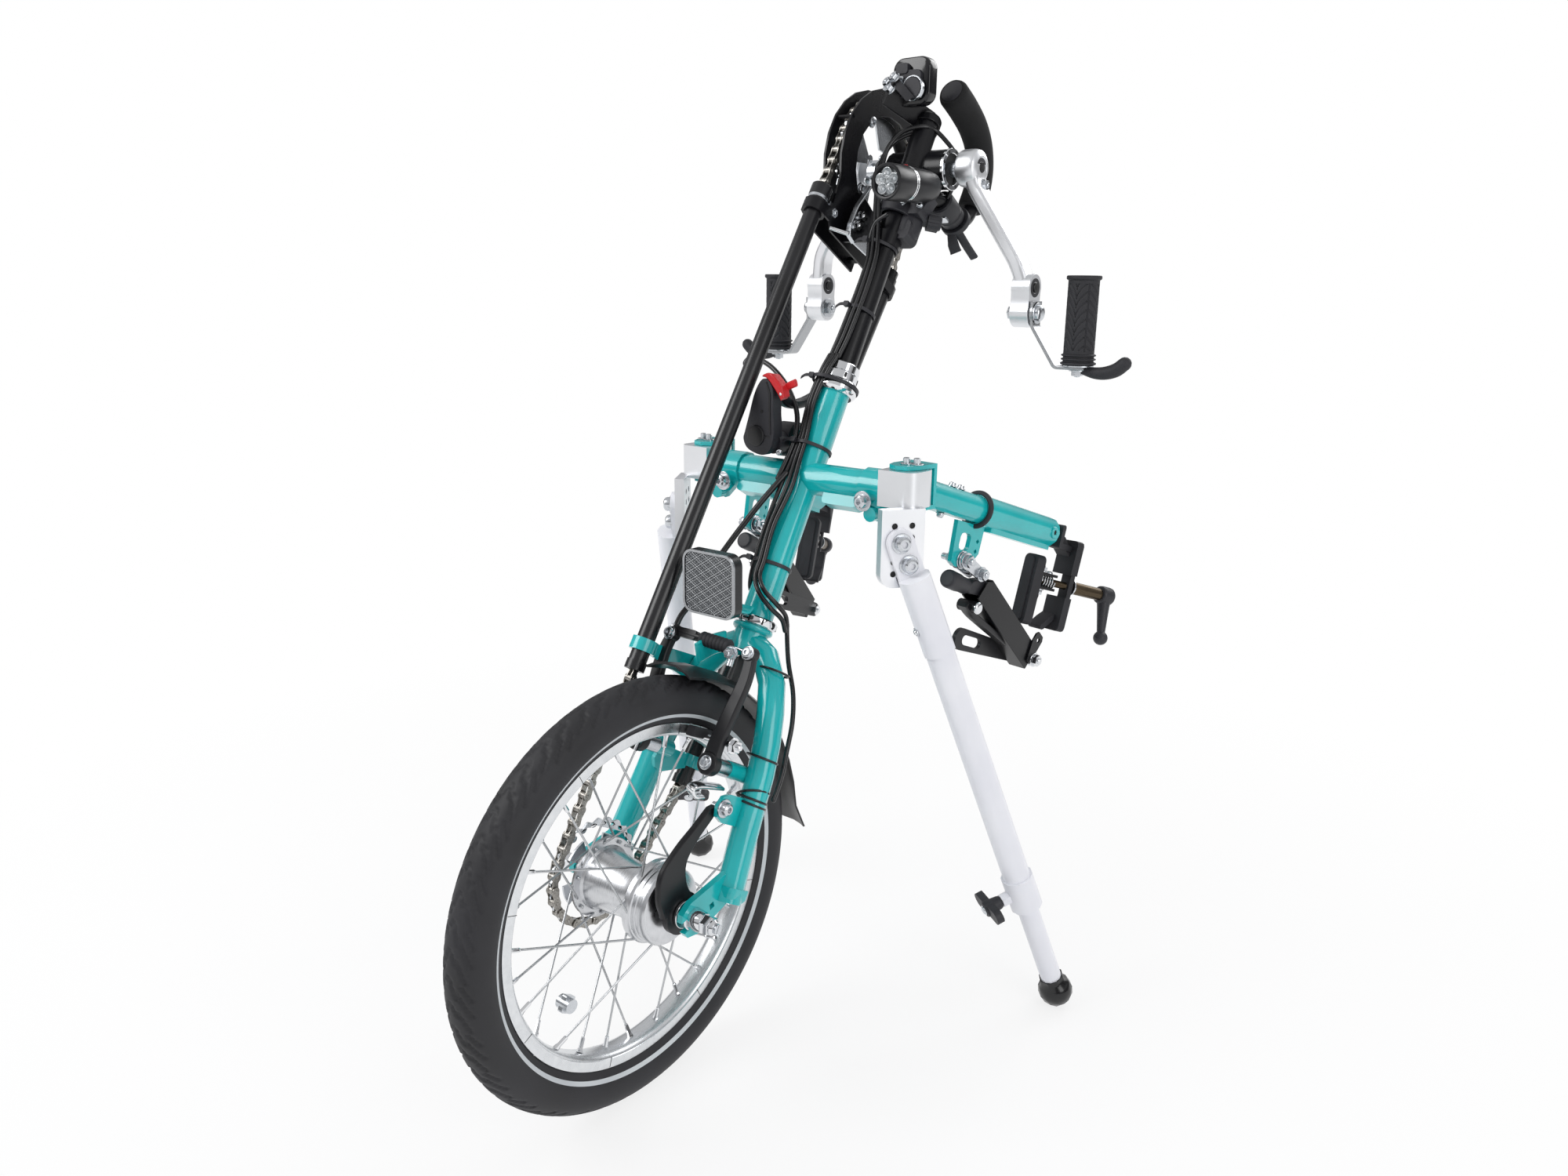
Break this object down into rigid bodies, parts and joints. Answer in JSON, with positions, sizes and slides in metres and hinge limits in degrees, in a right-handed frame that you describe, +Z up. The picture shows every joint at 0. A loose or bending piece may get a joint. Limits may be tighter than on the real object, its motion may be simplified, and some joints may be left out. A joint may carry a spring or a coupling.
{
  "type": "clip-on handcycle",
  "caption": "Clip-on wheelchair handcycle: hand-cranked, steered front wheel in a T-frame with telescopic legs and swivelling clamp arms.",
  "frame": {"origin": "middle of the bounding box's footprint, on the floor under the wheel and the feet", "axes": "+Z up, -Y towards the front wheel, +Y towards the rider, +X to the rider's left"},
  "size_m": [0.5416, 0.7598, 0.9545],
  "materials": {
    "teal_paint": "gloss",
    "black_paint": "satin",
    "white_paint": "satin",
    "black_plastic": "matte",
    "red_plastic": "gloss",
    "reflector": "gloss",
    "tyre": "matte",
    "rubber": "matte",
    "aluminium": "satin",
    "steel": "satin",
    "chrome": "polished"
  },
  "bodies": {
    "frame": {"main_frame": "teal_paint", "headset_lower_cup": "chrome", "headset_upper_cup": "chrome", "brake_lever_body": "black_plastic", "frame_cables": "black_plastic"},
    "brake_lever": {"brake_lever": "black_paint"},
    "parking_lock": {"parking_lock": "red_plastic"},
    "steering": {"fork": "teal_paint", "mast": "black_paint", "axle": "chrome", "hub_brake_arm": "black_paint", "drive_chain": "steel", "chain_tube_front": "black_plastic", "chain_tube_rear": "black_plastic", "chain_guard": "black_paint", "mudguard": "black_plastic", "front_reflector": "reflector", "headlamp": "black_plastic", "display_unit": "black_plastic", "hand_rest": "rubber", "mast_cables": "black_plastic", "fork_cable": "black_plastic"},
    "shift_trigger": {"shift_trigger": "black_plastic"},
    "wheel": {"tyre": "tyre", "rim": "aluminium", "hub_and_spokes": "steel"},
    "sprocket": {"sprocket": "steel"},
    "cranks": {"left_crank": "aluminium", "right_crank": "aluminium", "chainring": "steel"},
    "left_handle": {"left_grip_bracket": "steel", "left_grip": "rubber"},
    "right_handle": {"right_grip_bracket": "steel", "right_grip": "rubber"},
    "left_brake_arm": {"left_brake_arm": "black_paint"},
    "right_brake_arm": {"right_brake_arm": "black_paint"},
    "left_corner": {"left_corner_block": "aluminium", "left_leg_tube": "white_paint"},
    "left_leg_slide": {"left_leg_inner_tube": "white_paint", "left_leg_foot": "rubber"},
    "left_leg_knob": {"left_leg_knob": "black_plastic"},
    "left_leg_button": {"left_leg_button": "steel"},
    "left_arm": {"left_arm_bracket": "teal_paint"},
    "left_sleeve": {"left_arm_sleeve": "teal_paint", "left_fixed_jaw": "rubber"},
    "left_moving_jaw": {"left_moving_jaw": "rubber"},
    "left_clamp_handle": {"left_clamp_handle": "black_plastic"},
    "left_docking_lever": {"left_docking_lever": "black_paint"},
    "right_corner": {"right_corner_block": "aluminium", "right_leg_tube": "white_paint"},
    "right_leg_slide": {"right_leg_inner_tube": "white_paint", "right_leg_foot": "rubber"},
    "right_leg_knob": {"right_leg_knob": "black_plastic"},
    "right_leg_button": {"right_leg_button": "steel"},
    "right_arm": {"right_arm_bracket": "teal_paint"},
    "right_sleeve": {"right_arm_sleeve": "teal_paint", "right_fixed_jaw": "rubber"},
    "right_moving_jaw": {"right_moving_jaw": "rubber"},
    "right_clamp_handle": {"right_clamp_handle": "black_plastic"},
    "right_docking_lever": {"right_docking_lever": "black_paint"}
  },
  "joints": [
    {"name": "steering_turn", "type": "hinge", "parent": "frame", "child": "steering", "pos_m": [0, -0.0134, 0.41555], "axis": [0, 0.5, 0.866], "range_deg": [-24, 24]},
    {"name": "wheel_spin", "type": "hinge", "parent": "steering", "child": "wheel", "pos_m": [0, -0.1804, 0.1995], "axis": [1, 0, 0], "continuous": true},
    {"name": "crank_spin", "type": "hinge", "parent": "steering", "child": "cranks", "pos_m": [0, 0.25659, 0.84799], "axis": [1, 0, 0], "continuous": true},
    {"name": "sprocket_spin", "type": "hinge", "parent": "steering", "child": "sprocket", "pos_m": [-0.056, -0.1804, 0.1995], "axis": [1, 0, 0], "continuous": true},
    {"name": "left_handle_swing", "type": "hinge", "parent": "cranks", "child": "left_handle", "pos_m": [0.1284, 0.25659, 0.70629], "axis": [1, 0, 0], "continuous": true},
    {"name": "right_handle_swing", "type": "hinge", "parent": "cranks", "child": "right_handle", "pos_m": [-0.1284, 0.25659, 0.70629], "axis": [1, 0, 0], "continuous": true},
    {"name": "shift_trigger_press", "type": "hinge", "parent": "steering", "child": "shift_trigger", "pos_m": [0.02, 0.29854, 0.80125], "axis": [0, 0.866, -0.5], "range_deg": [0, 20], "stiffness_Nm_per_rad": 0.1},
    {"name": "brake_lever_pull", "type": "hinge", "parent": "frame", "child": "brake_lever", "pos_m": [-0.034, 0.0766, 0.62609], "axis": [-1, 0, 0], "range_deg": [0, 20], "stiffness_Nm_per_rad": 1},
    {"name": "parking_lock_flip", "type": "hinge", "parent": "frame", "child": "parking_lock", "pos_m": [-0.034, 0.0536, 0.64359], "axis": [1, 0, 0], "range_deg": [0, 30]},
    {"name": "left_brake_arm_close", "type": "hinge", "parent": "steering", "child": "left_brake_arm", "pos_m": [0.044, -0.11335, 0.31044], "axis": [0, -0.866, 0.5], "range_deg": [0, 2.5]},
    {"name": "right_brake_arm_close", "type": "hinge", "parent": "steering", "child": "right_brake_arm", "pos_m": [-0.044, -0.11335, 0.31044], "axis": [0, 0.866, -0.5], "range_deg": [0, 2.5]},
    {"name": "left_width_slide", "type": "slide", "parent": "frame", "child": "left_corner", "axis": [1, 0, 0], "range_m": [0, 0.02]},
    {"name": "left_leg_length", "type": "slide", "parent": "left_corner", "child": "left_leg_slide", "axis": [0.2068, 0.3065, -0.9291], "range_m": [-0.08, 0.08]},
    {"name": "left_leg_knob_turn", "type": "hinge", "parent": "left_corner", "child": "left_leg_knob", "pos_m": [0.22536, 0.13947, 0.14155], "axis": [0.5196, 0.7703, 0.3697], "range_deg": [-180, 180]},
    {"name": "left_leg_button_press", "type": "slide", "parent": "left_corner", "child": "left_leg_button", "axis": [0.5196, 0.7703, 0.3697], "range_m": [0, 0.002], "stiffness_N_per_m": 200},
    {"name": "left_arm_swivel", "type": "hinge", "parent": "left_corner", "child": "left_arm", "pos_m": [0.121, 0.0556, 0.5527], "axis": [0, 0, -1], "range_deg": [-7, 18]},
    {"name": "left_arm_length", "type": "slide", "parent": "left_arm", "child": "left_sleeve", "axis": [0.1327, 0.9444, -0.3007], "range_m": [-0.02, 0.05]},
    {"name": "left_jaw_close", "type": "slide", "parent": "left_sleeve", "child": "left_moving_jaw", "axis": [0.4165, 0.8625, -0.2876], "range_m": [0, 0.012]},
    {"name": "left_clamp_handle_turn", "type": "hinge", "parent": "left_sleeve", "child": "left_clamp_handle", "pos_m": [0.152, 0.27623, 0.42793], "axis": [0.4165, 0.8625, -0.2876], "range_deg": [0, 1080]},
    {"name": "left_docking_lever_drop", "type": "hinge", "parent": "left_sleeve", "child": "left_docking_lever", "pos_m": [0.13315, 0.14212, 0.47063], "axis": [-0.9903, 0.1392, 0], "range_deg": [0, 26]},
    {"name": "right_width_slide", "type": "slide", "parent": "frame", "child": "right_corner", "axis": [-1, 0, 0], "range_m": [0, 0.02]},
    {"name": "right_leg_length", "type": "slide", "parent": "right_corner", "child": "right_leg_slide", "axis": [-0.2068, 0.3065, -0.9291], "range_m": [-0.08, 0.08]},
    {"name": "right_leg_knob_turn", "type": "hinge", "parent": "right_corner", "child": "right_leg_knob", "pos_m": [-0.22536, 0.13947, 0.14155], "axis": [0.5196, -0.7703, -0.3697], "range_deg": [-180, 180]},
    {"name": "right_leg_button_press", "type": "slide", "parent": "right_corner", "child": "right_leg_button", "axis": [-0.5196, 0.7703, 0.3697], "range_m": [0, 0.002], "stiffness_N_per_m": 200},
    {"name": "right_arm_swivel", "type": "hinge", "parent": "right_corner", "child": "right_arm", "pos_m": [-0.121, 0.0556, 0.5527], "axis": [0, 0, 1], "range_deg": [-7, 18]},
    {"name": "right_arm_length", "type": "slide", "parent": "right_arm", "child": "right_sleeve", "axis": [-0.1327, 0.9444, -0.3007], "range_m": [-0.02, 0.05]},
    {"name": "right_jaw_close", "type": "slide", "parent": "right_sleeve", "child": "right_moving_jaw", "axis": [-0.4165, 0.8625, -0.2876], "range_m": [0, 0.012]},
    {"name": "right_clamp_handle_turn", "type": "hinge", "parent": "right_sleeve", "child": "right_clamp_handle", "pos_m": [-0.152, 0.27623, 0.42793], "axis": [-0.4165, 0.8625, -0.2876], "range_deg": [0, 1080]},
    {"name": "right_docking_lever_drop", "type": "hinge", "parent": "right_sleeve", "child": "right_docking_lever", "pos_m": [-0.13315, 0.14212, 0.47063], "axis": [-0.9903, -0.1392, 0], "range_deg": [0, 26]}
  ],
  "couplings": [
    {"joint": "sprocket_spin", "follows": "crank_spin", "ratio": 1.5},
    {"joint": "left_brake_arm_close", "follows": "brake_lever_pull", "ratio": 0.125},
    {"joint": "right_brake_arm_close", "follows": "brake_lever_pull", "ratio": 0.125},
    {"joint": "left_clamp_handle_turn", "follows": "left_jaw_close", "rad_per_m": 1570.8},
    {"joint": "right_clamp_handle_turn", "follows": "right_jaw_close", "rad_per_m": 1570.8}
  ]
}
